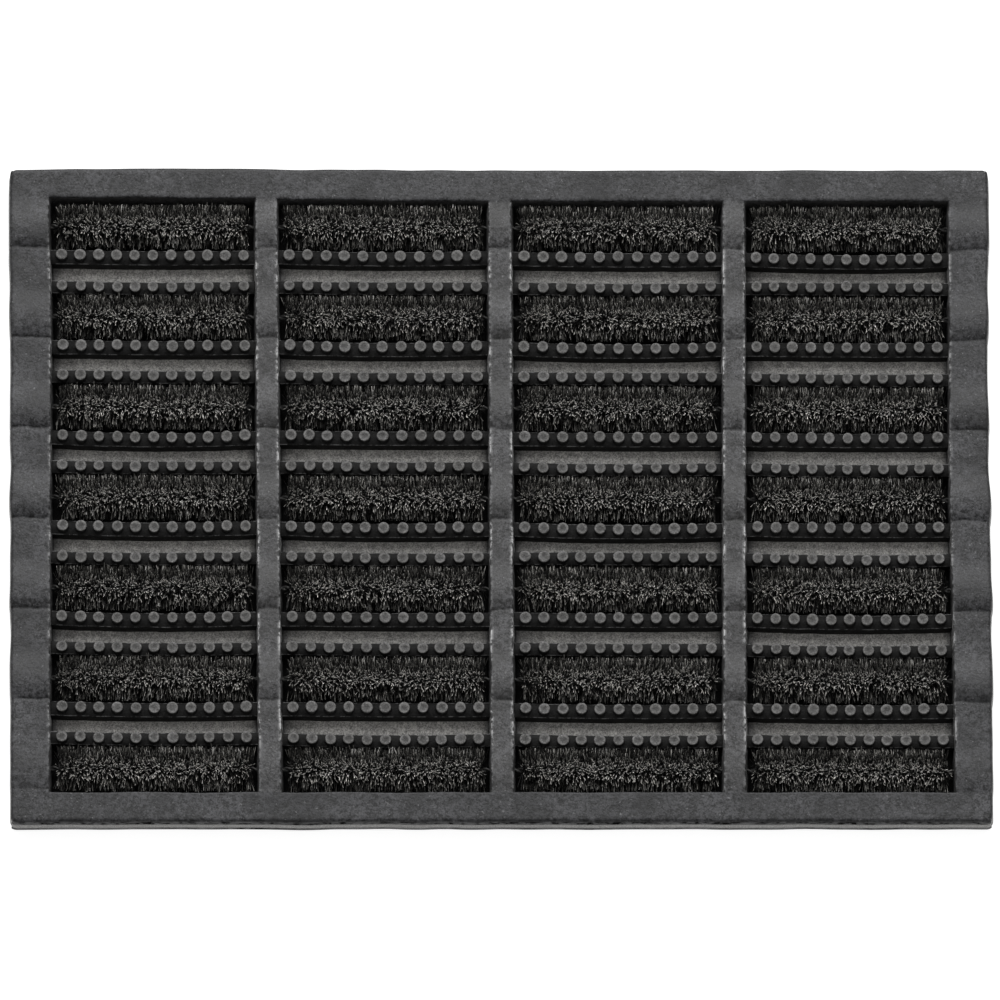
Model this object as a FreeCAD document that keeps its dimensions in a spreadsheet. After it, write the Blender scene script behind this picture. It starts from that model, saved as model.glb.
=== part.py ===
import FreeCAD, Part
import math
import os
import Sketcher

# Door mat: one rubber moulding with seven twisted-in-wire brushes moulded across it.
# X runs along the mat's long side, +Y towards its back edge, Z up from the floor. Millimetres and degrees.
SIZES = [
    ("mat_length", 600.0, "overall size along X"),
    ("mat_width", 410.0, "overall size along Y"),
    ("bar_height", 18.0, "top of the border and the dividers"),
    ("corner_radius", 3.5, "vertical outer corners"),
    ("edge_radius", 1.2, "rounding around the top of the outer edge"),
    ("side_border", 23.0, "width of the left and right borders at their top"),
    ("end_border", 18.0, "width of the front and back borders at their top"),
    ("divider_width", 13.7, "width of a divider between two columns at its top"),
    ("wall_draft", 5.0, "slope of the walls inside the cells"),
    ("column_count", 4, "columns of cells along X"),
    ("brush_rows", 7, "brushes along Y"),
    ("row_pitch", 56.8, "from one brush to the next"),
    ("hump_radius", 46.0, "curve of the swelling over a brush core"),
    ("hump_rise", 2.9, "height of that swelling above the bars"),
    ("hump_inset", 1.3, "from the outer side face to the end of a swelling"),
    ("rail_spacing", 19.1, "between the two rails of a channel"),
    ("rail_height", 12.0, "top of a rail"),
    ("rail_top_width", 7.8, "a rail at its top"),
    ("rail_foot_width", 8.8, "a rail where it stands on the base"),
    ("base_height", 2.0, "thickness of the sheet that closes the underside"),
    ("pip_height", 6.0, "a pip above its rail"),
    ("pip_foot_radius", 3.85, "a pip where it meets the rail"),
    ("pip_draft", 2.4, "slope of a pip's side"),
    ("pip_pitch", 11.35, "between two pips on a rail"),
    ("pips_per_rail", 11, "pips on one rail"),
    ("core_radius", 2.0, "twisted wire core of a brush"),
    ("core_height", 9.0, "axis of the brushes above the floor"),
    ("core_cover", 4.0, "rubber left over each end of a wire core"),
    ("bristle_radius", 13.8, "bristles before they are trimmed"),
    ("bristle_top", 21.5, "height the bristles are trimmed to"),
    ("bristle_bottom", 2.4, "lowest bristle tips, just clear of the base"),
    ("bristle_length", 124.0, "bristles along one cell"),
]

# Expressions that several features share.
CELL_LENGTH = (
    "((dims.mat_length - 2 * dims.side_border"
    " - (dims.column_count - 1) * dims.divider_width) / dims.column_count)"
)
COLUMN_PITCH = f"({CELL_LENGTH} + dims.divider_width)"
CELL_WIDTH = "(dims.mat_width - 2 * dims.end_border)"
FIRST_COLUMN = f"(-(dims.column_count - 1) * {COLUMN_PITCH} / 2)"
FIRST_BRUSH = "(-(dims.brush_rows - 1) * dims.row_pitch / 2)"
FIRST_CHANNEL = f"({FIRST_BRUSH} + dims.row_pitch / 2)"
DRAFT_RUN = "((dims.bar_height - dims.base_height) * tan(dims.wall_draft * 1 deg))"
CORE_START = "(-dims.mat_length / 2 + dims.core_cover)"

os.makedirs("parts", exist_ok=True)
doc = FreeCAD.newDocument("door_mat")

sheet = doc.addObject("Spreadsheet::Sheet", "dims")
for line, (alias, number, note) in enumerate(SIZES, start=1):
    sheet.set(f"A{line}", alias)
    sheet.set(f"B{line}", str(number))
    sheet.set(f"C{line}", note)
    sheet.setAlias(f"B{line}", alias)
doc.recompute()

finished = []


def bind(feature, **expressions):
    """Ties properties to sheet expressions; two underscores in a name stand for a dot."""
    for name, expression in expressions.items():
        feature.setExpression(name.replace("__", "."), expression)


def plane_of(body, role):
    return next(f for f in body.Origin.OriginFeatures if f.Role == role)


def new_sketch(body, name, role, lift="0"):
    """A sketch on one of the body's own origin planes, lifted along the plane's normal."""
    sketch = body.newObject("Sketcher::SketchObject", name)
    sketch.AttachmentSupport = [(plane_of(body, role), "")]
    sketch.MapMode = "FlatFace"
    sketch.setExpression("AttachmentOffset.Base.z", f"({lift}) * 1 mm")
    return sketch


def fix_point(sketch, name, edge, end, across, up, now=(1.0, 1.0)):
    """Places one end of a sketch edge from the sketch's origin, given where it is now."""
    for kind, expression, start in (("DistanceX", across, now[0]), ("DistanceY", up, now[1])):
        index = sketch.addConstraint(Sketcher.Constraint(kind, -1, 1, edge, end, start))
        label = f"{name}_{kind[-1].lower()}"
        sketch.renameConstraint(index, label)
        sketch.setExpression(f"Constraints.{label}", f"({expression}) * 1 mm")


def fix_radius(sketch, edge, expression, now):
    index = sketch.addConstraint(Sketcher.Constraint("Radius", edge, now))
    sketch.renameConstraint(index, "radius")
    sketch.setExpression("Constraints.radius", f"({expression}) * 1 mm")


def draw_polygon(sketch, corners):
    """Closes straight edges through corners given as pairs of expressions."""
    count = len(corners)
    around = [
        FreeCAD.Vector(math.cos(2 * math.pi * i / count), math.sin(2 * math.pi * i / count), 0) * 50
        for i in range(count)
    ]
    for i in range(count):
        sketch.addGeometry(Part.LineSegment(around[i], around[(i + 1) % count]), False)
    for i in range(count):
        following = (i + 1) % count
        sketch.addConstraint(Sketcher.Constraint("Coincident", i, 2, following, 1))
    for i, (across, up) in enumerate(corners):
        fix_point(sketch, f"corner{i}", i, 1, across, up)


def draw_circle(sketch, across, up, radius):
    circle = Part.Circle(FreeCAD.Vector(1, 1, 0), FreeCAD.Vector(0, 0, 1), 2)
    sketch.addGeometry(circle, False)
    fix_point(sketch, "centre", 0, 3, across, up)
    fix_radius(sketch, 0, radius, 2)


def rectangle(length, width, centre_x="0"):
    """Corners of a rectangle that stands evenly about Y = 0."""
    left = f"{centre_x} - ({length}) / 2"
    right = f"{centre_x} + ({length}) / 2"
    front = f"-({width}) / 2"
    back = f"({width}) / 2"
    return [(left, front), (right, front), (right, back), (left, back)]


def extrude(body, kind, name, sketch, length, upwards=True, taper="0"):
    """A pad or pocket. A pocket runs against its sketch's normal unless it is reversed."""
    feature = body.newObject(f"PartDesign::{kind}", name)
    feature.Profile = sketch
    feature.Reversed = upwards == (kind == "Pocket")
    bind(feature, Length=f"({length}) * 1 mm", TaperAngle=f"({taper}) * 1 deg")
    sketch.Visibility = False
    return feature


def round_edges(body, name, base, wanted, radius):
    """Fillets the edges of a feature that pass a test."""
    doc.recompute()
    chosen = [f"Edge{i}" for i, edge in enumerate(base.Shape.Edges, start=1) if wanted(edge)]
    fillet = body.newObject("PartDesign::Fillet", name)
    fillet.Base = (base, chosen)
    bind(fillet, Radius=f"({radius}) * 1 mm")
    return fillet


def set_run(pattern, body, role, pitch, count):
    """Fills in a linear pattern along one of the body's own axes."""
    pattern.Direction = (plane_of(body, role), [""])
    bind(pattern, Length=f"({pitch}) * ({count} - 1) * 1 mm", Occurrences=count)


def repeat(body, name, original, role, pitch, count):
    pattern = body.newObject("PartDesign::LinearPattern", name)
    pattern.Originals = [original]
    set_run(pattern, body, role, pitch, count)
    body.Tip = pattern
    return pattern


# The rubber moulding: a slab, swellings over the brush cores, cells, rails with pips, bores.
frame = doc.addObject("PartDesign::Body", "rubber_frame")

slab_outline = new_sketch(frame, "slab_outline", "XY_Plane")
draw_polygon(slab_outline, rectangle("dims.mat_length", "dims.mat_width"))
slab = extrude(frame, "Pad", "slab", slab_outline, "dims.bar_height")
slab_corners = round_edges(
    frame,
    "slab_corners",
    slab,
    lambda edge: abs(edge.tangentAt(edge.FirstParameter).z) > 0.99,
    "dims.corner_radius",
)
slab_rim = round_edges(
    frame,
    "slab_rim",
    slab_corners,
    lambda edge: min(vertex.Z for vertex in edge.Vertexes) > float(sheet.get("bar_height")) - 0.01,
    "dims.edge_radius",
)

hump_profile = new_sketch(
    frame, "hump_profile", "YZ_Plane", "-dims.mat_length / 2 + dims.hump_inset"
)
first_brush = -(float(sheet.get("brush_rows")) - 1) * float(sheet.get("row_pitch")) / 2
hump_radius = float(sheet.get("hump_radius"))
hump_centre = float(sheet.get("bar_height")) + float(sheet.get("hump_rise")) - hump_radius
hump_foot = float(sheet.get("bar_height")) - 1
half_angle = math.acos((hump_foot - hump_centre) / hump_radius)
arc_circle = Part.Circle(
    FreeCAD.Vector(first_brush, hump_centre, 0), FreeCAD.Vector(0, 0, 1), hump_radius
)
arc = Part.ArcOfCircle(arc_circle, math.pi / 2 - half_angle, math.pi / 2 + half_angle)
half_chord = hump_radius * math.sin(half_angle)
chord = Part.LineSegment(
    FreeCAD.Vector(first_brush - half_chord, hump_foot, 0),
    FreeCAD.Vector(first_brush + half_chord, hump_foot, 0),
)
hump_profile.addGeometry(arc, False)
hump_profile.addGeometry(chord, False)
hump_profile.addConstraint(Sketcher.Constraint("Coincident", 0, 2, 1, 1))
hump_profile.addConstraint(Sketcher.Constraint("Coincident", 1, 2, 0, 1))
hump_profile.addConstraint(Sketcher.Constraint("Horizontal", 1))
fix_radius(hump_profile, 0, "dims.hump_radius", hump_radius)
fix_point(
    hump_profile,
    "centre",
    0,
    3,
    FIRST_BRUSH,
    "dims.bar_height + dims.hump_rise - dims.hump_radius",
    (first_brush, hump_centre),
)
foot_index = hump_profile.addConstraint(Sketcher.Constraint("DistanceY", -1, 1, 1, 1, hump_foot))
hump_profile.renameConstraint(foot_index, "foot")
hump_profile.setExpression("Constraints.foot", "(dims.bar_height - 1) * 1 mm")
hump = extrude(frame, "Pad", "hump", hump_profile, "dims.mat_length - 2 * dims.hump_inset")
humps = repeat(frame, "humps", hump, "Y_Axis", "dims.row_pitch", "dims.brush_rows")

cell_outline = new_sketch(frame, "cell_outline", "XY_Plane", "dims.base_height")
draw_polygon(
    cell_outline,
    rectangle(
        f"{CELL_LENGTH} - 2 * {DRAFT_RUN}", f"{CELL_WIDTH} - 2 * {DRAFT_RUN}", FIRST_COLUMN
    ),
)
cell = extrude(
    frame,
    "Pocket",
    "cell",
    cell_outline,
    "dims.bar_height - dims.base_height + dims.hump_rise + 2",
    taper="dims.wall_draft",
)
cells = repeat(frame, "cells", cell, "X_Axis", COLUMN_PITCH, "dims.column_count")

# One channel: the dip between its two rails, down to the base.
channel_profile = new_sketch(
    frame, "channel_profile", "YZ_Plane", "-dims.mat_length / 2 + dims.side_border / 2"
)
outer_foot = "(dims.rail_spacing + dims.rail_foot_width) / 2"
outer_top = "(dims.rail_spacing + dims.rail_top_width) / 2"
inner_top = "(dims.rail_spacing - dims.rail_top_width) / 2"
inner_foot = "(dims.rail_spacing - dims.rail_foot_width) / 2"
draw_polygon(
    channel_profile,
    [
        (f"{FIRST_CHANNEL} - {outer_foot}", "dims.base_height / 2"),
        (f"{FIRST_CHANNEL} + {outer_foot}", "dims.base_height / 2"),
        (f"{FIRST_CHANNEL} + {outer_top}", "dims.rail_height"),
        (f"{FIRST_CHANNEL} + {inner_top}", "dims.rail_height"),
        (f"{FIRST_CHANNEL} + {inner_foot}", "dims.base_height"),
        (f"{FIRST_CHANNEL} - {inner_foot}", "dims.base_height"),
        (f"{FIRST_CHANNEL} - {inner_top}", "dims.rail_height"),
        (f"{FIRST_CHANNEL} - {outer_top}", "dims.rail_height"),
    ],
)
channel = extrude(
    frame, "Pad", "channel", channel_profile, "dims.mat_length - dims.side_border"
)
channels = repeat(frame, "channels", channel, "Y_Axis", "dims.row_pitch", "dims.brush_rows - 1")

pip_outline = new_sketch(frame, "pip_outline", "XY_Plane", "dims.rail_height - 0.5")
draw_circle(
    pip_outline,
    f"{FIRST_COLUMN} - (dims.pips_per_rail - 1) * dims.pip_pitch / 2",
    f"{FIRST_CHANNEL} - dims.rail_spacing / 2",
    "dims.pip_foot_radius",
)
pip = extrude(
    frame, "Pad", "pip", pip_outline, "dims.pip_height + 0.5", taper="-dims.pip_draft"
)
pips = frame.newObject("PartDesign::MultiTransform", "pips")
pips.Originals = [pip]
pip_runs = []
for name, role, pitch, count in (
    ("along_rail", "X_Axis", "dims.pip_pitch", "dims.pips_per_rail"),
    ("both_rails", "Y_Axis", "dims.rail_spacing", "2"),
    ("each_column", "X_Axis", COLUMN_PITCH, "dims.column_count"),
    ("each_channel", "Y_Axis", "dims.row_pitch", "dims.brush_rows - 1"),
):
    run = frame.newObject("PartDesign::LinearPattern", name)
    set_run(run, frame, role, pitch, count)
    pip_runs.append(run)
pips.Transformations = pip_runs
frame.Tip = pips

bore_profile = new_sketch(frame, "bore_profile", "YZ_Plane", CORE_START)
draw_circle(bore_profile, FIRST_BRUSH, "dims.core_height", "dims.core_radius")
bore = extrude(
    frame, "Pocket", "bore", bore_profile, "dims.mat_length - 2 * dims.core_cover"
)
bores = repeat(frame, "bores", bore, "Y_Axis", "dims.row_pitch", "dims.brush_rows")
finished.append(frame)


def rod_along_x(name, radius, start_x, length, centre_y):
    """A round rod at the brushes' height."""
    rod = doc.addObject("Part::Cylinder", name)
    rod.Placement = FreeCAD.Placement(
        FreeCAD.Vector(), FreeCAD.Rotation(FreeCAD.Vector(0, 1, 0), 90)
    )
    bind(
        rod,
        Radius=f"({radius}) * 1 mm",
        Height=f"({length}) * 1 mm",
        Placement__Base__x=f"({start_x}) * 1 mm",
        Placement__Base__y=f"({centre_y}) * 1 mm",
        Placement__Base__z="dims.core_height * 1 mm",
    )
    return rod


# Each brush is one wire core held in the bars, with a section of bristles in every cell.
for row in range(int(float(sheet.get("brush_rows")))):
    centre_y = f"{FIRST_BRUSH} + {row} * dims.row_pitch"
    core = rod_along_x(
        f"wire_core_{row + 1}",
        "dims.core_radius",
        CORE_START,
        "dims.mat_length - 2 * dims.core_cover",
        centre_y,
    )
    finished.append(core)
    for column in range(int(float(sheet.get("column_count")))):
        tag = f"r{row + 1}_c{column + 1}"
        start_x = f"{FIRST_COLUMN} + {column} * {COLUMN_PITCH} - dims.bristle_length / 2"
        round_brush = rod_along_x(
            f"round_{tag}", "dims.bristle_radius", start_x, "dims.bristle_length", centre_y
        )
        hole = rod_along_x(
            f"hole_{tag}", "dims.core_radius", start_x, "dims.bristle_length", centre_y
        )
        trim = doc.addObject("Part::Box", f"trim_{tag}")
        bind(
            trim,
            Length="dims.bristle_length * 1 mm",
            Width="3 * dims.bristle_radius * 1 mm",
            Height="(dims.bristle_top - dims.bristle_bottom) * 1 mm",
            Placement__Base__x=f"({start_x}) * 1 mm",
            Placement__Base__y=f"({centre_y} - 1.5 * dims.bristle_radius) * 1 mm",
            Placement__Base__z="dims.bristle_bottom * 1 mm",
        )
        trimmed = doc.addObject("Part::Common", f"trimmed_{tag}")
        trimmed.Base = round_brush
        trimmed.Tool = trim
        bristles = doc.addObject("Part::Cut", f"bristles_{tag}")
        bristles.Base = trimmed
        bristles.Tool = hole
        finished.append(bristles)

doc.recompute()

for thing in doc.Objects:
    if "Invalid" in thing.State or "Error" in thing.State:
        raise RuntimeError(f"{thing.Name} did not compute: {thing.State}")
for thing in finished:
    if thing.Shape.isNull() or not thing.Shape.isValid():
        raise RuntimeError(f"{thing.Name} has no valid shape")
    if len(thing.Shape.Solids) != 1:
        raise RuntimeError(f"{thing.Name} is {len(thing.Shape.Solids)} solids")

# Each cut must take material away and each addition must bring some.
for before, after, sign in (
    (slab_rim, humps, 1),
    (humps, cells, -1),
    (cells, channels, 1),
    (channels, pips, 1),
    (pips, bores, -1),
):
    if sign * (after.Shape.Volume - before.Shape.Volume) <= 0:
        raise RuntimeError(f"{after.Name} changed the volume the wrong way")

for thing in finished:
    thing.Label = thing.Name
    thing.Shape.exportStep(f"parts/{thing.Name}.step")
    box = thing.Shape.BoundBox
    print(
        thing.Name,
        f"{thing.Shape.Volume:.0f} mm3,",
        f"x {box.XMin:.2f}..{box.XMax:.2f}",
        f"y {box.YMin:.2f}..{box.YMax:.2f}",
        f"z {box.ZMin:.2f}..{box.ZMax:.2f}",
    )
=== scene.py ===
"""Looks of the door mat: a rubber moulding with rails and pips, and seven brushes across it."""

import math

import bpy
import numpy as np
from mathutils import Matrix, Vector


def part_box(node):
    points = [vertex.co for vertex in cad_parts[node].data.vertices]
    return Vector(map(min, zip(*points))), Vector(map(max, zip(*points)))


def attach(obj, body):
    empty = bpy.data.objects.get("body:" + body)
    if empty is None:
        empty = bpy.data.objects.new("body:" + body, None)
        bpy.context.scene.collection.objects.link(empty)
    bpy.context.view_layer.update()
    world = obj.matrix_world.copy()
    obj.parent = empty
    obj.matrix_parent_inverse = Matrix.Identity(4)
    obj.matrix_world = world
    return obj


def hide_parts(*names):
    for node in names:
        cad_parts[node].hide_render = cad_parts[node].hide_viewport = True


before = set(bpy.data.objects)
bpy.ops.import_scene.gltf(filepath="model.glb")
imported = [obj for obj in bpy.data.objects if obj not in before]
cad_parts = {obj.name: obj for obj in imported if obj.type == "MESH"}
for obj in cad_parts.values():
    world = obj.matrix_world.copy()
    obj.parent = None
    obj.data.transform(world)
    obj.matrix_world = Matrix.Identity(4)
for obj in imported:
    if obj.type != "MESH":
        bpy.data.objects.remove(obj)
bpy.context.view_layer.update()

MM = 0.001
RNG = np.random.default_rng(7)

# Sizes in millimetres, the same as in the CAD model.
LENGTH = 600.0
WIDTH = 410.0
TOP = 18.0
BASE = 2.0
SIDE_BORDER = 23.0
END_BORDER = 18.0
DIVIDER = 13.7
COLUMNS = 4
BRUSH_ROWS = 7
ROW_PITCH = 56.8
WALL_RUN = (TOP - BASE) * math.tan(math.radians(5.0))
CORNER = 3.5
HUMP_RISE = 2.9
HUMP_FRONT = 11.9
HUMP_BACK = 20.5
RAIL_SPACING = 19.1
RAIL_TOP = 12.0
PIP_PITCH = 11.35
PIPS = 11

CELL = (LENGTH - 2 * SIDE_BORDER - (COLUMNS - 1) * DIVIDER) / COLUMNS
COLUMN_X = [(c - (COLUMNS - 1) / 2) * (CELL + DIVIDER) for c in range(COLUMNS)]
BRUSH_Y = [(r - (BRUSH_ROWS - 1) / 2) * ROW_PITCH for r in range(BRUSH_ROWS)]
CHANNEL_Y = [(low + high) / 2 for low, high in zip(BRUSH_Y, BRUSH_Y[1:])]
CELL_END = WIDTH / 2 - END_BORDER


def row_shift(x):
    """The moulded rows lie a little to the front of their design places, more so to the right."""
    return -1.25 - 0.004 * x


def smooth_noise(points, scale, seed):
    """Soft random waves between about -1 and 1 along one or two coordinates in millimetres."""
    generator = np.random.default_rng(seed)
    points = np.atleast_2d(points)
    total = np.zeros(points.shape[1])
    for octave in range(5):
        wave = 2 * math.pi / (scale * generator.uniform(0.6, 1.6))
        heading = generator.uniform(0, 2 * math.pi)
        turn = (math.cos(heading), math.sin(heading)) if len(points) == 2 else (1.0,)
        along = sum(share * place for share, place in zip(turn, points))
        total += np.sin(along * wave + generator.uniform(0, 2 * math.pi))
    return total / 3.0


def sideways_shift(x, y):
    """The whole mat is a little askew, and the columns aren't quite even, least so at the front."""
    askew = 0.35 - 0.0033 * y
    inside = np.clip((LENGTH / 2 - np.abs(x)) / 20, 0, 1)
    columns = (0.6 + 0.5 * y / 170) * 1.7 * np.sin(2 * math.pi * x / 400)
    right_end = -1.2 * np.exp(-(((y - 15) / 80) ** 2)) * np.clip((x - 200) / 70, 0, 1)
    left_end = -1.4 * np.exp(-(((y - 175) / 35) ** 2)) * np.clip((-x - 200) / 70, 0, 1)
    return askew + inside * (columns + right_end + left_end + 0.35 - 0.25 * y / 170)


def make_mesh(name, points, faces, smooth=True):
    """Makes an object that rides on the mat, from points in millimetres and a list of faces."""
    points = np.array(points, dtype=float)
    points[:, 0] += sideways_shift(points[:, 0], points[:, 1])
    mesh = bpy.data.meshes.new(name)
    mesh.from_pydata((points * MM).tolist(), [], faces)
    mesh.update()
    if smooth:
        mesh.polygons.foreach_set("use_smooth", [True] * len(mesh.polygons))
    piece = bpy.data.objects.new(name, mesh)
    bpy.context.scene.collection.objects.link(piece)
    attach(piece, "root")
    return piece


def paint(piece, name, values):
    """Stores one number per vertex for the material to read."""
    layer = piece.data.attributes.new(name, "FLOAT", "POINT")
    layer.data.foreach_set("value", np.asarray(values, dtype=np.float32))


def ring_faces(rings, count, start=0, closed_ends=True):
    """Quads between equal rings of points, with the two ends filled."""
    faces = []
    for ring in range(rings - 1):
        low = start + ring * count
        high = low + count
        for i in range(count):
            following = (i + 1) % count
            faces.append((low + i, low + following, high + following, high + i))
    if closed_ends:
        last = start + (rings - 1) * count
        faces.append(tuple(range(start + count - 1, start - 1, -1)))
        faces.append(tuple(range(last, last + count)))
    return faces


# The tray: the base, the border and the dividers with their swellings, as one closed surface.
# EDGE rounds the lips of the cells and OUTER_EDGE the outer rim; the outer side faces lean in by
# OUTER_RUN. FOOT_LINE and FACE_LINE are the depths at which those faces change their painted light:
# painted contact shadow below FOOT_LINE, a pale band of painted floor reflection up to FACE_LINE
# and painted shade over the upper face and rim above it.
HUMP_SHIFT = -2.4
CHANNEL_SHIFT = -0.2
CHANNEL_HALF = 7.5
EDGE = 1.1
OUTER_EDGE = 1.7
OUTER_RUN = 0.7
FOOT_LINE = 0.19
FACE_LINE = 0.46


def edge_lines(at, inwards):
    """Grid lines across a rounded edge at a cell's wall; inwards points from the cell into the bar."""
    steps = [-WALL_RUN - 1.2, -WALL_RUN - 0.5, -WALL_RUN]
    steps += [EDGE * share for share in (0.0, 0.15, 0.45, 1.0, 2.0)]
    return [at + inwards * step for step in steps]


def outer_lines(half):
    """Grid lines down an outer side face and over its rounded edge."""
    steps = [0.0, FOOT_LINE - 0.02, FOOT_LINE + 0.02, FACE_LINE - 0.04, FACE_LINE + 0.04]
    steps += [OUTER_RUN + OUTER_EDGE * share for share in (0.0, 0.12, 0.35, 0.65, 1.0, 1.6)]
    lines = [half - step for step in steps]
    return lines + [-line for line in lines]


def spread(low, high, step):
    """Even grid lines from low to high, about a step apart."""
    return list(np.linspace(low, high, max(2, int(round((high - low) / step)) + 1)))


def tidy_lines(lines, fixed, least):
    """Sorts the lines and drops those too near a fixed one or each other."""
    fixed = sorted(fixed)
    kept = [line for line in sorted(lines) if min(abs(line - f) for f in fixed) > least]
    merged = sorted(fixed + kept)
    return [merged[0]] + [b for a, b in zip(merged, merged[1:]) if b - a > 1e-6]


def tray_lines():
    """Grid lines of the tray: dense over its rounded edges and creases, wide over the rest."""
    fixed_x = outer_lines(LENGTH / 2)
    loose_x = []
    for x in COLUMN_X:
        fixed_x += edge_lines(x - CELL / 2, -1) + edge_lines(x + CELL / 2, 1)
        loose_x += spread(x - CELL / 2 + 6, x + CELL / 2 - 6, 5.0)
    loose_x += spread(-LENGTH / 2 + 3, -LENGTH / 2 + SIDE_BORDER - 3, 1.5)
    loose_x += spread(LENGTH / 2 - SIDE_BORDER + 3, LENGTH / 2 - 3, 1.5)
    for left, right in zip(COLUMN_X, COLUMN_X[1:]):
        middle = (left + right) / 2
        loose_x += spread(middle - DIVIDER / 2 + 2.5, middle + DIVIDER / 2 - 2.5, 1.5)
    fixed_y = outer_lines(WIDTH / 2)
    fixed_y += edge_lines(CELL_END, 1) + edge_lines(-CELL_END, -1)
    for y in BRUSH_Y:
        foot = y + HUMP_SHIFT + row_shift(0) - HUMP_FRONT
        fixed_y += [foot + step for step in np.arange(-2.4, 2.5, 0.48)]
    loose_y = spread(-WIDTH / 2 + 3, WIDTH / 2 - 3, 1.6)
    return tidy_lines(loose_x, fixed_x, 0.7), tidy_lines(loose_y, fixed_y, 0.7)


def swelling_over_core(from_centre):
    """Height of a swelling: a long gentle slope behind the core and a steep one in front."""
    front = 1 - np.clip(-from_centre / HUMP_FRONT, 0, 1) ** 2.6
    back = 0.5 + 0.5 * np.cos(math.pi * np.clip(from_centre / HUMP_BACK, 0, 1))
    return HUMP_RISE * np.where(from_centre < 0, front, back)


def rounded(depth, radius):
    """How far a rounded edge lies below its flat top, depth in from the edge."""
    inside = np.clip(radius - depth, 0, radius)
    return radius - np.sqrt(np.maximum(radius**2 - inside**2, 0))


def on_divider(x):
    """True between the outer columns' middles, where the only bars are dividers."""
    return np.abs(x) < COLUMN_X[-1]


def channel_offset(x, y):
    """Distance from the middle of the nearest channel, positive towards the back."""
    offset = np.full(x.shape, 1e3)
    for centre in CHANNEL_Y:
        here = y - centre - CHANNEL_SHIFT - row_shift(x)
        offset = np.where(np.abs(here) < np.abs(offset), here, offset)
    return offset


def tray_points(x, y):
    """Heights of the tray's upper surface and the points moved for its uneven edges."""
    cell_depth = np.full(x.shape, 1e6)
    for centre in COLUMN_X:
        from_x = np.abs(x - centre) - CELL / 2
        from_y = np.abs(y) - CELL_END
        outside = np.hypot(np.maximum(from_x, 0), np.maximum(from_y, 0))
        cell_depth = np.minimum(cell_depth, outside + np.minimum(np.maximum(from_x, from_y), 0))
    outer_depth = np.minimum(LENGTH / 2 - np.abs(x), WIDTH / 2 - np.abs(y))

    broad_waves = 0.10 * smooth_noise([x, y], scale=60, seed=3)
    small_waves = 0.05 * smooth_noise([x, y], scale=13, seed=4)
    top = TOP + broad_waves + small_waves
    on_side = np.abs(y) < CELL_END + 6
    swelling = np.zeros(x.shape)
    crease = np.zeros(x.shape)
    for row, centre in enumerate(BRUSH_Y):
        drift = 0.5 * smooth_noise(x, scale=22, seed=40 + row)
        from_core = y - centre - HUMP_SHIFT - row_shift(x) - drift
        share = 0.35 if row == 0 else 0.75
        swelling = np.maximum(swelling, share * swelling_over_core(from_core) * on_side)
        depth = (0.8 + 0.35 * smooth_noise(x, scale=9, seed=60 + row)) * (row > 0)
        depth *= np.where(on_divider(x), 0.55, np.where(x < 0, 0.75, 0.5))
        at_front = np.exp(-((from_core + HUMP_FRONT + 0.4) ** 2))
        crease = np.maximum(crease, at_front * on_side * depth)
    top = top + swelling - 0.55 * crease

    height = top - rounded(cell_depth, EDGE)
    wall = BASE + (top - EDGE - BASE) * np.clip((cell_depth + WALL_RUN) / WALL_RUN, 0, 1)
    foot = np.clip(1 + (cell_depth + WALL_RUN) / 1.2, 0, 1) ** 2 * 0.5
    in_cell = cell_depth < 1e-6
    height = np.where(in_cell, np.maximum(wall, BASE + foot), height)

    height = height - rounded(outer_depth - OUTER_RUN, OUTER_EDGE)
    outer_wall = np.clip(outer_depth / OUTER_RUN, 0, 1) * (top - OUTER_EDGE)
    height = np.where(outer_depth < OUTER_RUN - 1e-6, outer_wall, height)

    # The side edges bulge at the swellings; the left one leans out at the back, the right one in.
    bulge = np.where(x < 0, 0.6, 1.1) * swelling / HUMP_RISE + 0.6
    bulge += 0.25 * smooth_noise(y, scale=35, seed=8)
    left_bow = 0.7 * np.clip((y - 90) / 60, 0, 1)
    right_bow = -1.5 * np.exp(-(((y - 75) / 85) ** 2))
    bulge += np.where(x < 0, left_bow, right_bow)
    reach = np.clip((np.abs(x) - (LENGTH / 2 - 9)) / 9, 0, 1) ** 2
    moved_x = x + np.sign(x) * bulge * reach
    side_reach = np.exp(-((cell_depth / 3.0) ** 2)) * (np.abs(y) < CELL_END)
    moved_x = moved_x + 0.25 * smooth_noise(y, scale=30, seed=9) * side_reach

    # The front and back edges wave; the front border is wider than designed, and so is the back one.
    end_reach = np.clip((np.abs(y) - (WIDTH / 2 - 9)) / 9, 0, 1) ** 2
    waves = 0.35 * smooth_noise(x, scale=120, seed=10) + 0.2 * smooth_noise(x, scale=45, seed=12)
    back_bow = np.where(y > 0, 1.3 * np.exp(-(((x + 200) / 110) ** 2)) - 0.2, -1.7)
    moved_y = y + (waves + back_bow) * end_reach
    inner_reach = np.exp(-(((np.abs(y) - CELL_END) / 4.0) ** 2))
    moved_y = moved_y + 0.3 * smooth_noise(x, scale=90, seed=11) * inner_reach
    back_border = np.clip((y - CELL_END + 22) / 22, 0, 1)
    back_border = back_border * np.clip((WIDTH / 2 - y) / END_BORDER, 0, 1)
    moved_y = moved_y - (1.6 + 1.2 * np.tanh((x + 120) / 60)) * back_border

    # The outer corners are round.
    corner_x = np.abs(moved_x) - (LENGTH / 2 - CORNER)
    corner_y = np.abs(moved_y) - (WIDTH / 2 - CORNER)
    at_corner = (corner_x > 0) & (corner_y > 0)
    ratio = np.maximum(corner_x, corner_y) / np.maximum(np.hypot(corner_x, corner_y), 1e-9)
    moved_x = np.where(at_corner, np.sign(x) * (LENGTH / 2 - CORNER + corner_x * ratio), moved_x)
    moved_y = np.where(at_corner, np.sign(y) * (WIDTH / 2 - CORNER + corner_y * ratio), moved_y)
    return np.stack([moved_x, moved_y, height], axis=1), cell_depth, outer_depth, crease


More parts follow.
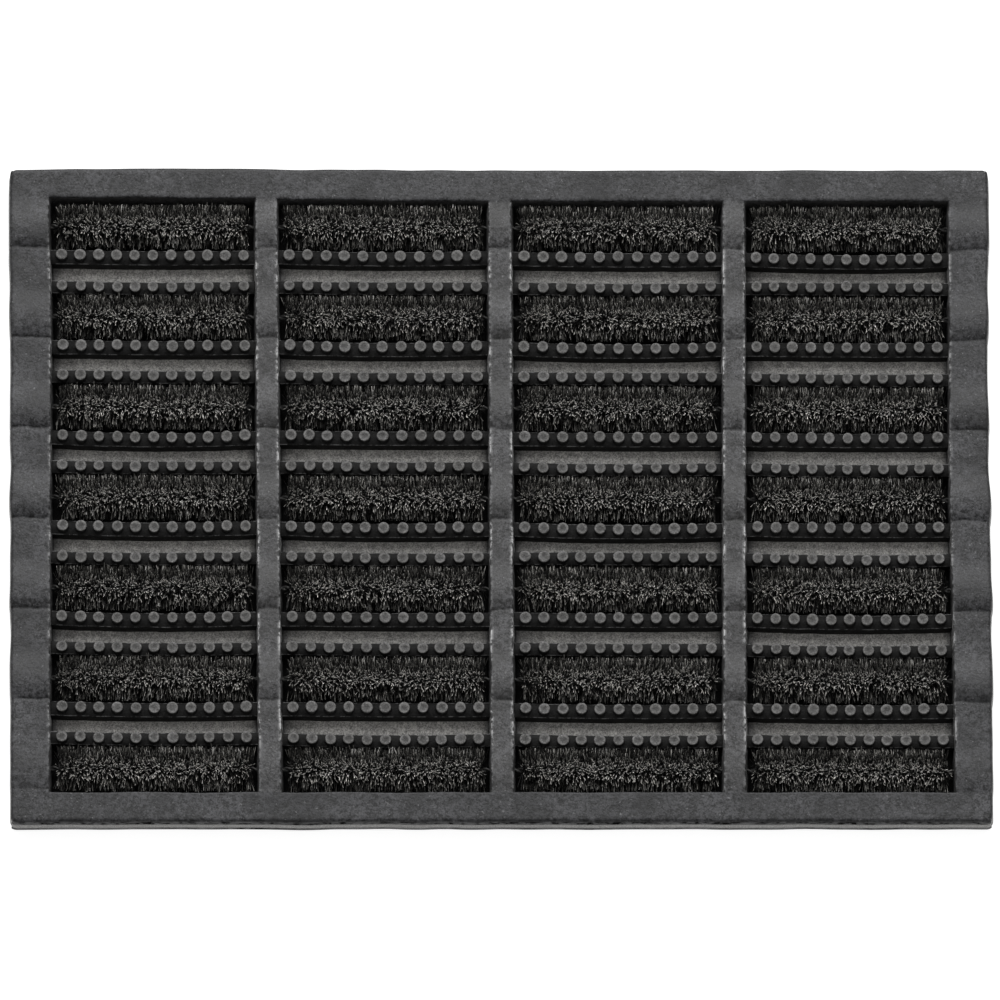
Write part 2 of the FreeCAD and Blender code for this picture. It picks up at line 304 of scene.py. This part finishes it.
def build_tray():
    """The tray's upper surface and side faces on a grid, closed by one flat underside."""
    lines_x, lines_y = tray_lines()
    count_x, count_y = len(lines_x), len(lines_y)
    x, y = np.meshgrid(lines_x, lines_y)
    x, y = x.ravel(), y.ravel()
    points, cell_depth, outer_depth, crease = tray_points(x, y)
    faces = [
        (i + j * count_x, i + 1 + j * count_x, i + 1 + (j + 1) * count_x, i + (j + 1) * count_x)
        for j in range(count_y - 1)
        for i in range(count_x - 1)
    ]
    rim = list(range(count_x - 1))
    rim += [count_x - 1 + j * count_x for j in range(count_y - 1)]
    rim += [count_x * count_y - 1 - i for i in range(count_x - 1)]
    rim += [(count_y - 1 - j) * count_x for j in range(count_y - 1)]
    points[rim, 2] = 0.0
    faces.append(tuple(reversed(rim)))
    tray = make_mesh("tray", points, faces)
    paint_tray(tray, x, y, cell_depth, outer_depth, crease)
    return tray


def paint_tray(tray, x, y, cell_depth, outer_depth, crease):
    """Where the rubber is worn, scuffed and dusty, and where light and shade are painted on it."""
    offset = channel_offset(x, y)
    in_channel = np.abs(offset) < CHANNEL_HALF
    inside_ends = np.abs(y) < CELL_END
    from_left = np.full(len(x), 1e3)
    for centre in COLUMN_X:
        inside = np.abs(x - centre) < CELL / 2
        from_left = np.where(inside, x - centre + CELL / 2, from_left)
    # Dust settles on the channel floors; less of it towards each cell's left end, which is painted
    # shade from the left wall.
    settled_and_painted_light = np.clip((-cell_depth - 1.0) / 4.0, 0, 1) * np.clip(0.45 + 0.55 * from_left / 20, 0, 1)
    # Paler towards the back of each channel: painted light that evens out the shade cast by the back
    # rail.
    towards_back = np.clip(0.5 + offset / 9, 0, 1)
    dust_and_painted_light = settled_and_painted_light * in_channel * (0.7 + 0.3 * towards_back)
    dust_and_painted_light += 0.04 * (on_divider(x) & (cell_depth > 1.0) & inside_ends)
    # A faint pale line where each lip starts to round: a painted highlight.
    dust_and_painted_light += 0.1 * (np.abs(cell_depth) < 0.01)
    # A pale band down the outer faces between the foot and FACE_LINE: a painted reflection of the
    # floor.
    dust_and_painted_light += 0.42 * ((outer_depth > FOOT_LINE) & (outer_depth < FACE_LINE))
    paint(tray, "dust_and_painted_light", dust_and_painted_light)

    # Bar tops and the channel floors count as worn; the floor under the brushes is left black and the
    # cell walls dark, as painted shade.
    on_floor = cell_depth < -WALL_RUN - 0.1
    paint(tray, "wear_and_painted_shade", np.where(cell_depth > -0.01, 1.0, np.where(on_floor, in_channel, 0.35)))

    # Pale broken lines along the lips beside the channels: scuffs, and partly a painted highlight on
    # the rounded edges.
    beside_channel = np.exp(-(((offset + CHANNEL_SHIFT) / 14) ** 4))
    lip = np.exp(-(((cell_depth - 0.4) / 0.65) ** 2)) * inside_ends
    lip *= np.where(on_divider(x), 1.0, 0.6)
    paint(tray, "edge", lip * (0.25 + 0.75 * beside_channel))

    # Painted shade: a dark band over the upper outer faces and rim, dark lines in the creases in front
    # of the swellings, and a painted contact shadow along the foot of the outer faces.
    above_face = 0.55 * np.exp(-(((outer_depth - OUTER_RUN) / 0.9) ** 2))
    rim = np.where(outer_depth < OUTER_RUN + 0.01, 1.0, above_face) * (outer_depth > FACE_LINE)
    patches = np.clip(0.85 + 0.4 * smooth_noise([x, y], scale=50, seed=71), 0, 1)
    foot = (outer_depth < FOOT_LINE) * patches
    paint(tray, "painted_shade", np.clip(crease + rim + foot, 0, 1))


def rail_sag(x_from_middle, bow):
    """A rail bows between the dividers that hold its ends."""
    along = np.clip(2 * x_from_middle / CELL, -1, 1)
    return -bow * (1 - along**2)


def add_pip(points, faces, centre_x, centre_y, low, high, lean):
    """One round pip with a softened rim and a faint dimple."""
    start = len(points)
    segments = 22
    size = 1 + RNG.normal(0, 0.02)
    wobble = 1 + RNG.uniform(-0.04, 0.04, 2)
    rings = (
        (3.90, low),
        (3.72, low + 0.5),
        (3.60, high - 0.80),
        (3.48, high - 0.32),
        (3.22, high - 0.07),
        (2.80, high),
        (1.60, high - 0.22),
        (0.70, high - 0.32),
    )
    for radius, z in rings:
        for i in range(segments):
            turn = 2 * math.pi * i / segments
            rise = (z - low) / (high - low)
            points.append(
                (
                    centre_x + size * radius * wobble[0] * math.cos(turn) + lean[0] * rise,
                    centre_y + size * radius * wobble[1] * math.sin(turn) + lean[1] * rise,
                    z + 0.04 * lean[0] * radius * math.cos(turn) * rise,
                )
            )
    faces += ring_faces(len(rings), segments, start)
    # Per ring: dark sides as painted shade; a worn pale rim round a darker dimple, partly a painted
    # ring highlight.
    wear_and_painted_light = (0.1, 0.1, 0.15, 0.5, 1.0, 1.0, 0.62, 0.5)
    return [share for share in wear_and_painted_light for _ in range(segments)]


def rail_profile(side):
    """Outline of a rail across its length, with the share of edge wear at each point; these pale top
    edges are partly a painted highlight.
    """
    back = [
        (4.6, BASE - 0.8),
        (4.45, BASE + 1.0),
        (4.0, RAIL_TOP - 0.7),
        (3.85, RAIL_TOP - 0.25),
        (3.4, RAIL_TOP),
    ]
    wider = 1.0 if side > 0 else 0.0
    front = [(-y - wider, z) for y, z in reversed(back)]
    # Pale lines at the top edges: wear, and partly a painted highlight on the lips.
    wear_and_painted_light = [0.0, 0.0, 0.0, 0.35, 0.0, 0.0, 0.35, 0.0, 0.0, 0.0]
    return back + front, wear_and_painted_light


def build_channel(number, centre_y):
    """The rails and pips of one channel in every column."""
    points, faces, wear_and_painted_shade, edge = [], [], [], []
    for middle_x in COLUMN_X:
        for side in (-1, 1):
            profile, wear_and_painted_light = rail_profile(side)
            bow = RNG.uniform(0.3, 1.7) if side > 0 else RNG.uniform(0.1, 1.2)
            rail_y = centre_y + CHANNEL_SHIFT + side * RAIL_SPACING / 2 + RNG.uniform(-0.3, 0.3)
            seed = int(RNG.integers(1, 10**6))
            stations = np.linspace(-CELL / 2 - 1.0, CELL / 2 + 1.0, 66)
            shift = rail_sag(stations, bow) + 0.12 * smooth_noise(stations, scale=25, seed=seed)
            shift = shift + row_shift(middle_x + stations)
            lift = 0.15 * smooth_noise(stations, scale=40, seed=seed + 1)
            start = len(points)
            for x, dy, dz in zip(stations, shift, lift):
                for y, z in profile:
                    climb = max(0.0, (z - BASE) / (RAIL_TOP - BASE))
                    points.append((middle_x + x, rail_y + y + dy, z + dz * climb))
                edge += wear_and_painted_light
            faces += ring_faces(len(stations), len(profile), start)
            # Rails nearly black: painted shade between and in front of the pips.
            wear_and_painted_shade += [0.07] * (len(points) - start)
            for p in range(PIPS):
                x = (p - (PIPS - 1) / 2) * PIP_PITCH
                y = rail_y + float(rail_sag(x, bow)) + row_shift(middle_x + x) + RNG.normal(0, 0.12)
                low = RAIL_TOP - 0.5
                high = TOP + RNG.normal(0, 0.12)
                lean = RNG.normal(0, 0.16, 2)
                pip_x = middle_x + x + RNG.normal(0, 0.12)
                pip_wear_and_light = add_pip(points, faces, pip_x, y, low, high, lean)
                wear_and_painted_shade += pip_wear_and_light
                edge += [0.0] * len(pip_wear_and_light)
    rails = make_mesh(f"rails_{number}", points, faces)
    paint(rails, "wear_and_painted_shade", wear_and_painted_shade)
    paint(rails, "dust_and_painted_light", np.array(wear_and_painted_shade) * 0.2)
    paint(rails, "edge", edge)
    paint(rails, "painted_shade", [0.0] * len(points))
    return rails


# Brushes: filaments fixed between two twisted wires and trimmed flat along the top. Straight fans
# start FAN_ROOT from the core and the bent crown CROWN_ROOT; the crown is palest at CREST_SHIFT,
# where its pale cut tips are brightened further as a painted highlight along the top.
CORE_HEIGHT = 9.0
FANNED = 3000
TUFT = 3
FAN_ROOT = 3.5
CROWN = 3500
CROWN_PATCHES = 130
CROWN_ROOT = 5.0
CREST_SHIFT = -3.5
BRIGHT_SHARE = 0.34


def shaded_root_tube(low, high, axis_y, generator):
    """A near-black tube round the wires where the filaments crowd, put there as painted shade in the
    middle of a brush.
    """
    sides = 16
    stations = np.arange(low + 3.4, high - 3.2, 2.2)
    points = []
    for x in stations:
        for i in range(sides):
            turn = 2 * math.pi * i / sides
            radius = 5.8 + generator.normal(0, 0.45)
            y = axis_y + radius * math.cos(turn)
            points.append((x, y, CORE_HEIGHT + 0.95 * radius * math.sin(turn)))
    return points, ring_faces(len(stations), sides)


def trimmed_length(side_reach, rise, low, high, generator):
    """Length from the core at which a filament meets the round outline, the flat top or the base."""
    count = len(rise)
    trim = (high[2] - CORE_HEIGHT + generator.normal(0, 0.3, count)) / np.maximum(rise, 0.05)
    under = (CORE_HEIGHT - low[2]) / np.maximum(-rise, 0.05)
    return np.minimum(side_reach, np.where(rise > 0.05, trim, np.where(rise < -0.05, under, 1e3)))


def fanned_filaments(low, high, axis_y, generator):
    """Filaments that stand out straight all round the core, in small tufts."""
    tufts = FANNED // TUFT
    turn = generator.uniform(-18, 198, tufts)
    turn = np.where(generator.random(tufts) > 0.9, generator.uniform(198, 342, tufts), turn)
    turn = np.radians(np.repeat(turn, TUFT) + generator.normal(0, 6, FANNED))
    side, rise = np.cos(turn), np.sin(turn)
    root_x = np.repeat(generator.uniform(low[0] + 3.5, high[0] - 2.5, tufts), TUFT)
    root_x += generator.normal(0, 0.7, FANNED)
    lean = np.tan(np.radians(generator.normal(0, 8, FANNED)))
    reach = (high[1] - low[1]) / 2 + generator.normal(0, 0.35, FANNED)
    length = trimmed_length(reach, rise, low, high, generator)
    root = np.stack([root_x, axis_y + FAN_ROOT * side, CORE_HEIGHT + FAN_ROOT * rise], axis=1)
    tip = root + np.stack([lean, side, rise], axis=1) * (length - FAN_ROOT)[:, None]
    return root, tip


def crown_filaments(low, high, axis_y, generator):
    """Filaments of the worn top, whose cut tips point every way."""
    patch = generator.integers(0, CROWN_PATCHES, CROWN)
    patch_turn = generator.uniform(0, 2 * math.pi, CROWN_PATCHES)[patch]
    patch_turn = patch_turn + generator.normal(0, 0.9, CROWN)
    turn = np.radians(np.clip(generator.normal(90, 25, CROWN), 30, 150))
    side, rise = np.cos(turn), np.sin(turn)
    root_x = generator.uniform(low[0] + 4.0, high[0] - 4.0, CROWN)
    root = np.stack([root_x, axis_y + CROWN_ROOT * side, CORE_HEIGHT + CROWN_ROOT * rise], axis=1)
    reach = np.full(CROWN, (high[1] - low[1]) / 2)
    length = trimmed_length(reach, rise, low, high, generator)
    tip = root + np.stack([np.zeros(CROWN), side, rise], axis=1) * (length - CROWN_ROOT)[:, None]
    bent = np.clip(np.abs(generator.normal(0, 2.3, CROWN)) + 0.5, 0, 4.2)
    tip[:, 0] += bent * np.cos(patch_turn)
    tip[:, 1] += bent * np.sin(patch_turn)
    return root, tip


def filament_rings(root, tip, generator):
    """Three points round the root and three round the tip of every filament, and which are bright."""
    along = tip - root
    along /= np.linalg.norm(along, axis=1, keepdims=True)
    across = np.cross(along, generator.normal(0, 1, (len(root), 3)))
    across /= np.linalg.norm(across, axis=1, keepdims=True)
    other = np.cross(along, across)
    bright = np.concatenate([np.zeros(FANNED, bool), generator.random(CROWN) < BRIGHT_SHARE])
    thick = (generator.uniform(0.13, 0.22, len(root)) * np.where(bright, 1.15, 1.0))[:, None]
    rings = []
    for end, width in ((root, 1.0), (tip, 0.9)):
        for corner in range(3):
            angle = 2 * math.pi * corner / 3
            rings.append(end + (across * math.cos(angle) + other * math.sin(angle)) * thick * width)
    return np.stack(rings, axis=1).reshape(-1, 3), bright


def bristle_tones(low_x, high_x, root_x, from_crest, bright, generator):
    """How pale each filament is: fans mixed, the crown in two kinds and palest along its crest, partly
    a painted highlight; both darker near the ends, as painted shade from the cell walls.
    """
    fan_tone = generator.random(FANNED) ** 1.85
    pale, dark = generator.uniform(0.8, 1.0, CROWN), generator.uniform(0.0, 0.3, CROWN)
    crown_tone = np.where(bright[FANNED:], pale, dark)
    # Palest along the crest: a painted highlight on the top of the brush.
    crown_tone *= np.clip(1.3 - from_crest / 14, 0.5, 1.0)
    tone = np.concatenate([fan_tone, crown_tone])
    # Darker near the ends: painted shade from the cell walls.
    tone *= np.clip(0.7 + (root_x - low_x) / 60, 0, 1)
    tone *= np.clip(0.7 + (high_x - root_x) / 30, 0, 1)
    return tone


def build_bristles(name, low, high, seed):
    """One brush section: its dense middle and its filaments, clipped to the section's box."""
    generator = np.random.default_rng(seed)
    low = np.array(low) / MM
    high = np.array(high) / MM
    axis_y = (low[1] + high[1]) / 2
    points, faces = shaded_root_tube(low[0], high[0], axis_y, generator)
    packed = len(points)
    fan_root, fan_tip = fanned_filaments(low, high, axis_y, generator)
    crown_root, crown_tip = crown_filaments(low, high, axis_y, generator)
    root = np.concatenate([fan_root, crown_root])
    tip = np.concatenate([fan_tip, crown_tip])
    tip[:, 0] = np.clip(tip[:, 0], low[0] - 0.6, high[0] + 0.6)
    tip[:, 1] = np.clip(tip[:, 1], low[1] - 0.6, high[1] + 0.4)
    tip[:, 2] = np.clip(tip[:, 2], low[2], high[2] + 0.9)

    filaments, bright = filament_rings(root, tip, generator)
    count = len(root)
    pattern = ring_faces(2, 3)
    faces += [tuple(packed + 6 * f + v for v in face) for f in range(count) for face in pattern]
    points = np.concatenate([np.array(points), filaments])
    points[:, 1] += row_shift(points[:, 0])
    piece = make_mesh(name, points, faces, smooth=False)

    from_crest = np.abs(crown_tip[:, 1] - axis_y - CREST_SHIFT)
    tone = bristle_tones(low[0], high[0], root[:, 0], from_crest, bright, generator)
    paint(piece, "tone", np.concatenate([np.zeros(packed), np.repeat(tone, 6)]))
    root_to_tip = np.tile([0.0, 0.0, 0.0, 1.0, 1.0, 1.0], count)
    paint(piece, "reach", np.concatenate([np.zeros(packed), root_to_tip]))
    return piece


def build_wires(name, low, high):
    """The two wires of a core, twisted round each other."""
    low = np.array(low) / MM
    high = np.array(high) / MM
    axis_y = (low[1] + high[1]) / 2
    axis_z = (low[2] + high[2]) / 2
    stations = np.arange(low[0], high[0] + 0.01, 1.6)
    sides = 7
    points, faces = [], []
    for half_turn in (0.0, math.pi):
        start = len(points)
        for x in stations:
            angle = 2 * math.pi * x / 11.0 + half_turn
            centre_y = axis_y + row_shift(x) + 0.95 * math.cos(angle)
            centre_z = axis_z + 0.95 * math.sin(angle)
            for i in range(sides):
                around = 2 * math.pi * i / sides
                points.append((x, centre_y + math.cos(around), centre_z + math.sin(around)))
        faces += ring_faces(len(stations), sides, start)
    return make_mesh(name, points, faces)


# Materials.
class Shader:
    """A material's node tree with short ways to add and join nodes."""

    def __init__(self, name):
        self.material = bpy.data.materials.new(name)
        self.material.use_nodes = True
        self.tree = self.material.node_tree
        self.body = self.tree.nodes["Principled BSDF"]
        self.place = self.tree.nodes.new("ShaderNodeTexCoord").outputs["Object"]

    def put(self, socket, value):
        if isinstance(value, bpy.types.NodeSocket):
            self.tree.links.new(value, socket)
        else:
            socket.default_value = value

    def noise(self, scale, detail=4.0, rough=0.6):
        texture = self.tree.nodes.new("ShaderNodeTexNoise")
        texture.inputs["Scale"].default_value = scale
        texture.inputs["Detail"].default_value = detail
        texture.inputs["Roughness"].default_value = rough
        self.put(texture.inputs["Vector"], self.place)
        return texture.outputs["Fac"]

    def number(self, name):
        node = self.tree.nodes.new("ShaderNodeAttribute")
        node.attribute_name = name
        return node.outputs["Fac"]

    def ramp(self, value, *stops):
        node = self.tree.nodes.new("ShaderNodeValToRGB")
        ramp = node.color_ramp
        while len(ramp.elements) < len(stops):
            ramp.elements.new(0.5)
        for element, (at, level) in zip(ramp.elements, stops):
            element.position = at
            element.color = (level, level, level, 1) if isinstance(level, float) else (*level, 1)
        self.put(node.inputs["Fac"], value)
        return node.outputs["Color"]

    def mix(self, factor, first, second, mode="MIX"):
        node = self.tree.nodes.new("ShaderNodeMix")
        node.data_type = "RGBA"
        node.blend_type = mode
        self.put(node.inputs["Factor"], factor)
        self.put(node.inputs["A"], (*first, 1) if isinstance(first, tuple) else first)
        self.put(node.inputs["B"], (*second, 1) if isinstance(second, tuple) else second)
        return node.outputs["Result"]

    def math(self, operation, first, second):
        node = self.tree.nodes.new("ShaderNodeMath")
        node.operation = operation
        self.put(node.inputs[0], first)
        self.put(node.inputs[1], second)
        return node.outputs["Value"]

    def bump(self, height, distance, strength=1.0, under=None):
        node = self.tree.nodes.new("ShaderNodeBump")
        node.inputs["Distance"].default_value = distance
        node.inputs["Strength"].default_value = strength
        self.put(node.inputs["Height"], height)
        if under is not None:
            self.put(node.inputs["Normal"], under)
        return node.outputs["Normal"]


def rubber_material():
    """Black moulded rubber, finely mottled, worn paler on top, with pale dust in the channels, and
    painted light and shade.
    """
    shader = Shader("moulded_rubber")
    fine = shader.noise(850, 4, 0.7)
    leathery = shader.noise(300, 4, 0.65)
    cloudy = shader.noise(42, 4, 0.6)
    mottled = shader.mix(0.5, fine, leathery)
    blotches = shader.ramp(mottled, (0.43, 0.0), (0.58, 1.0))
    worn_tone = shader.mix(blotches, (0.002, 0.002, 0.0025), (0.058, 0.058, 0.062))
    clouded = shader.mix(1.0, worn_tone, shader.ramp(cloudy, (0.35, 0.4), (0.65, 1.15)), "MULTIPLY")
    specks = shader.ramp(shader.noise(520, 2, 0.6), (0.66, 0.0), (0.76, 0.7))
    specked = shader.mix(specks, clouded, (0.16, 0.16, 0.165))
    wear_and_painted_shade = shader.number("wear_and_painted_shade")
    # The recesses are near black here: painted shade.
    rubber_tone = shader.mix(wear_and_painted_shade, (0.003, 0.003, 0.003), specked)
    # Pale scuffs on the lips, partly a painted highlight along the rounded edges.
    broken = shader.ramp(shader.noise(300, 3, 0.7), (0.46, 0.08), (0.6, 1.0))
    scuffs_and_highlights = shader.math("MULTIPLY", shader.number("edge"), broken)
    scuffed_and_highlit = shader.mix(scuffs_and_highlights, rubber_tone, (0.55, 0.55, 0.55))
    # Painted shade: near black in the creases, over the outer rim and at the foot.
    uneven = shader.ramp(shader.noise(240, 3, 0.6), (0.35, 0.45), (0.6, 1.0))
    patchy_painted_shade = shader.math("MULTIPLY", shader.number("painted_shade"), uneven)
    with_painted_shade = shader.mix(patchy_painted_shade, scuffed_and_highlit, (0.004, 0.004, 0.004))
    # Pale dust in the channels; the same share also paints light: the floor reflection band on the
    # outer faces, a lighter back to each channel and the pale line on the lips.
    drifts = shader.ramp(mottled, (0.38, 0.4), (0.62, 1.0))
    sandy = shader.math("MULTIPLY", drifts, shader.ramp(shader.noise(1300, 2), (0.4, 0.4), (0.6, 1.0)))
    settled_and_painted_light = shader.math("MULTIPLY", shader.number("dust_and_painted_light"), sandy)
    dust_and_painted_light_tone = shader.mix(settled_and_painted_light, with_painted_shade, (0.72, 0.7, 0.66))
    shader.put(shader.body.inputs["Base Color"], dust_and_painted_light_tone)
    # Less sheen in the recesses, and none where shade is painted.
    sheen = shader.ramp(wear_and_painted_shade, (0.0, 0.05), (1.0, 0.42))
    shader.put(shader.body.inputs["Specular IOR Level"], shader.mix(patchy_painted_shade, sheen, (0.0, 0.0, 0.0)))
    shader.put(shader.body.inputs["Roughness"], shader.ramp(leathery, (0.35, 0.42), (0.65, 0.6)))
    grain = shader.bump(fine, 0.0003, 0.6)
    hide = shader.bump(leathery, 0.0007, 0.5, grain)
    shader.put(shader.body.inputs["Normal"], shader.bump(shader.noise(90, 3, 0.5), 0.0008, 0.35, hide))
    return shader.material


def bristle_material():
    """Dark filaments, each with its own tone, paler at the cut tip and darkened towards the root as
    painted shade.
    """
    shader = Shader("bristle_filament")
    tone = shader.ramp(
        shader.number("tone"),
        (0.0, (0.006, 0.0058, 0.0054)),
        (0.35, (0.03, 0.029, 0.0265)),
        (0.62, (0.28, 0.272, 0.25)),
        (0.88, (0.86, 0.84, 0.79)),
        (1.0, (0.97, 0.96, 0.94)),
    )
    # Near black towards the root: painted shade inside the brush.
    near_tip = shader.ramp(shader.number("reach"), (0.45, 0.0), (0.8, 1.0))
    shaded = shader.mix(near_tip, (0.004, 0.0039, 0.0036), tone)
    streaks = shader.ramp(shader.noise(600, 2, 0.5), (0.35, 0.7), (0.65, 1.0))
    shader.put(shader.body.inputs["Base Color"], shader.mix(1.0, shaded, streaks, "MULTIPLY"))
    shader.body.inputs["Specular IOR Level"].default_value = 0.3
    roughness = shader.ramp(shader.number("tone"), (0.0, 0.4), (1.0, 0.6))
    shader.put(shader.body.inputs["Roughness"], roughness)
    return shader.material


def wire_material():
    """Galvanised steel wire, darkened far below bare zinc as painted shade inside the brush."""
    shader = Shader("galvanised_wire")
    patches = shader.noise(600, 4, 0.7)
    shaded_steel_tone = shader.ramp(patches, (0.3, (0.03, 0.029, 0.028)), (0.7, (0.09, 0.09, 0.088)))
    shader.put(shader.body.inputs["Base Color"], shaded_steel_tone)
    shader.body.inputs["Metallic"].default_value = 1.0
    shader.put(shader.body.inputs["Roughness"], shader.ramp(patches, (0.3, 0.5), (0.7, 0.7)))
    shader.put(shader.body.inputs["Normal"], shader.bump(patches, 0.00005, 0.4))
    return shader.material


rubber = rubber_material()
filament = bristle_material()
steel = wire_material()


def dress(piece, material, slot, *nodes):
    """Gives a piece its material and hides the CAD nodes that it replaces.
    The slot argument is not used.
    """
    piece.data.materials.append(material)
    if nodes:
        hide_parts(*nodes)


dress(build_tray(), rubber, "rubber", "rubber_frame")
for number, centre_y in enumerate(CHANNEL_Y, start=1):
    dress(build_channel(number, centre_y), rubber, "rubber")
for row in range(1, BRUSH_ROWS + 1):
    core = f"wire_core_{row}"
    dress(build_wires(f"twisted_wires_{row}", *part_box(core)), steel, "wire", core)
    for column in range(1, COLUMNS + 1):
        node = f"bristles_r{row}_c{column}"
        brush = build_bristles(f"brush_r{row}_c{column}", *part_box(node), 100 * row + column)
        dress(brush, filament, "bristle", node)


# Floor, light and camera.
def lay_floor():
    """A pale floor that glows, so that it stays white round the dark mat."""
    corners = [(-6, -6, 0), (6, -6, 0), (6, 6, 0), (-6, 6, 0)]
    mesh = bpy.data.meshes.new("floor")
    mesh.from_pydata(corners, [], [(0, 1, 2, 3)])
    floor = bpy.data.objects.new("floor", mesh)
    bpy.context.scene.collection.objects.link(floor)
    shader = Shader("pale_floor")
    tone = shader.ramp(shader.noise(3, 2), (0.3, (0.3, 0.3, 0.3)), (0.7, (0.34, 0.34, 0.34)))
    shader.put(shader.body.inputs["Base Color"], tone)
    shader.body.inputs["Roughness"].default_value = 0.8
    shader.body.inputs["Emission Color"].default_value = (1, 1, 1, 1)
    shader.body.inputs["Emission Strength"].default_value = 0.88
    mesh.materials.append(shader.material)


def light_room():
    """A white room all round, brighter behind the mat than in front of it."""
    world = bpy.data.worlds.new("studio")
    world.use_nodes = True
    sky = world.node_tree
    heading = sky.nodes.new("ShaderNodeTexCoord")
    parts = sky.nodes.new("ShaderNodeSeparateXYZ")
    sky.links.new(heading.outputs["Generated"], parts.inputs["Vector"])
    fade = sky.nodes.new("ShaderNodeMapRange")
    fade.inputs["From Min"].default_value = -0.8
    fade.inputs["From Max"].default_value = 0.9
    fade.inputs["To Min"].default_value = 0.26
    fade.inputs["To Max"].default_value = 0.95
    sky.links.new(parts.outputs["Y"], fade.inputs["Value"])
    sky.links.new(fade.outputs["Result"], sky.nodes["Background"].inputs["Strength"])
    sky.nodes["Background"].inputs["Color"].default_value = (1, 1, 1, 1)
    bpy.context.scene.world = world


def soft_light(name, place, size, power):
    """A large lamp that points at the mat."""
    light = bpy.data.lights.new(name, "AREA")
    light.shape = "RECTANGLE"
    light.size, light.size_y = size
    light.energy = power
    lamp = bpy.data.objects.new(name, light)
    lamp.location = place
    lamp.rotation_mode = "QUATERNION"
    lamp.rotation_quaternion = (-Vector(place)).to_track_quat("-Z", "Y")
    lamp.visible_camera = False
    bpy.context.scene.collection.objects.link(lamp)


def place_camera():
    """Far off and tilted a little from straight above, so that the front face just shows."""
    tilt = math.radians(13.0)
    distance = 20.0
    seen_width = 0.6127
    data = bpy.data.cameras.new("camera")
    data.sensor_width = 36.0
    data.lens = data.sensor_width * distance / seen_width
    data.clip_end = 100.0
    camera = bpy.data.objects.new("camera", data)
    target = Vector((0.0, -0.0019, 0.009))
    back = Vector((0.0, -math.sin(tilt), math.cos(tilt)))
    camera.location = target + back * distance
    camera.rotation_mode = "QUATERNION"
    camera.rotation_quaternion = (-back).to_track_quat("-Z", "Y")
    bpy.context.scene.collection.objects.link(camera)
    bpy.context.scene.camera = camera


lay_floor()
light_room()
soft_light("key", place=(0.0, 3.8, 4.6), size=(6.4, 4.0), power=350)
place_camera()
bpy.context.scene.view_settings.view_transform = "Standard"
